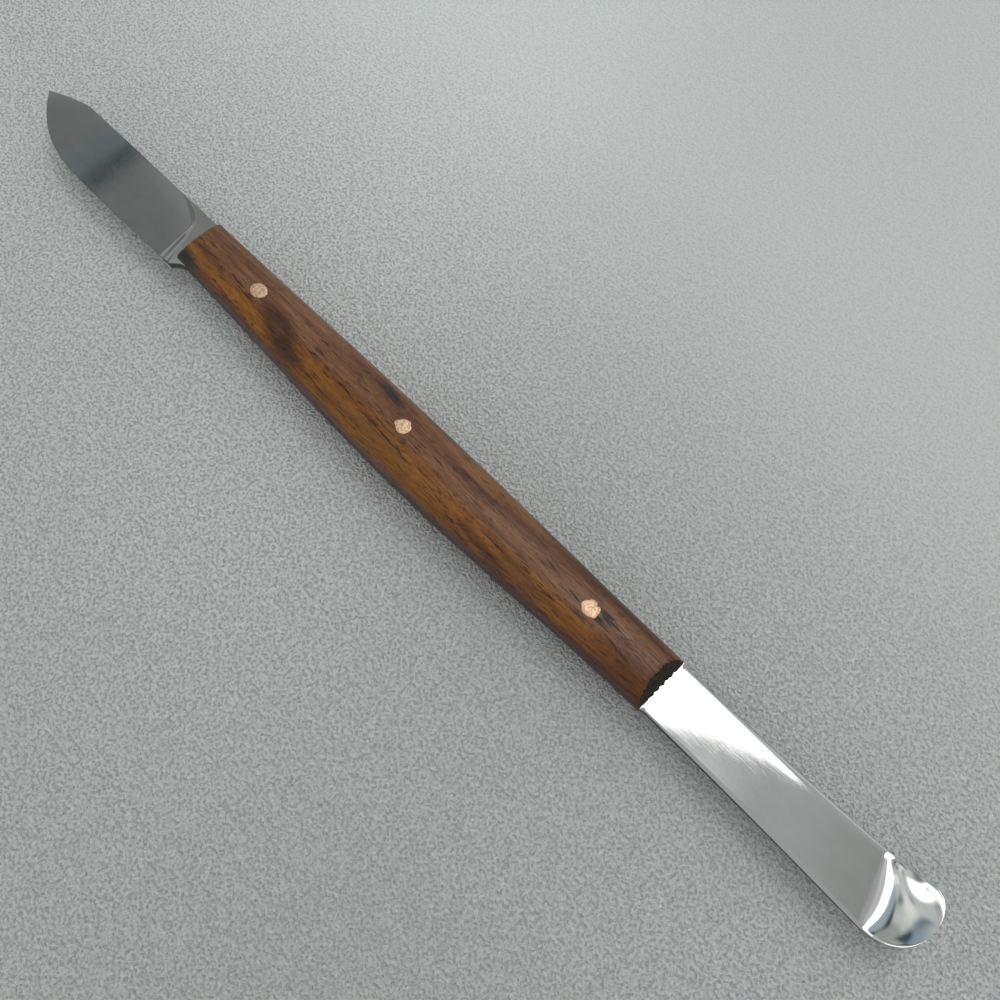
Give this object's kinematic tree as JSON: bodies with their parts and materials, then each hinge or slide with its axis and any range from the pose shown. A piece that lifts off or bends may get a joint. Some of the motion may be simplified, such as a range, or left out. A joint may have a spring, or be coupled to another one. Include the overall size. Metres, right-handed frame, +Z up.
{
  "type": "dental wax knife",
  "caption": "Double-ended laboratory knife: clip-point blade, riveted two-scale wooden handle on a full tang, and a polished flat spatula with a turned-up scoop.",
  "frame": {"origin": "centre of the overall outline in X and Y, at the height of the surface that the handle's belly lies on", "axes": "+X along the knife from the blade's tip to the scoop, +Y across it towards the blade's spine, +Z up, normal to the steel strip, the side that the scoop turns up to"},
  "size_m": [0.175, 0.0108, 0.0091],
  "materials": {
    "steel": "mirror-polished stainless steel with fine lengthwise scratches",
    "wood": "reddish-brown hardwood with open pores under a thin worn varnish",
    "copper": "copper wire, peened and filed flush"
  },
  "bodies": {
    "root": {"steel_blade_and_spatula": "steel", "upper_scale": "wood", "lower_scale": "wood", "rivet_blade_end": "copper", "rivet_middle": "copper", "rivet_spatula_end": "copper"}
  },
  "joints": []
}
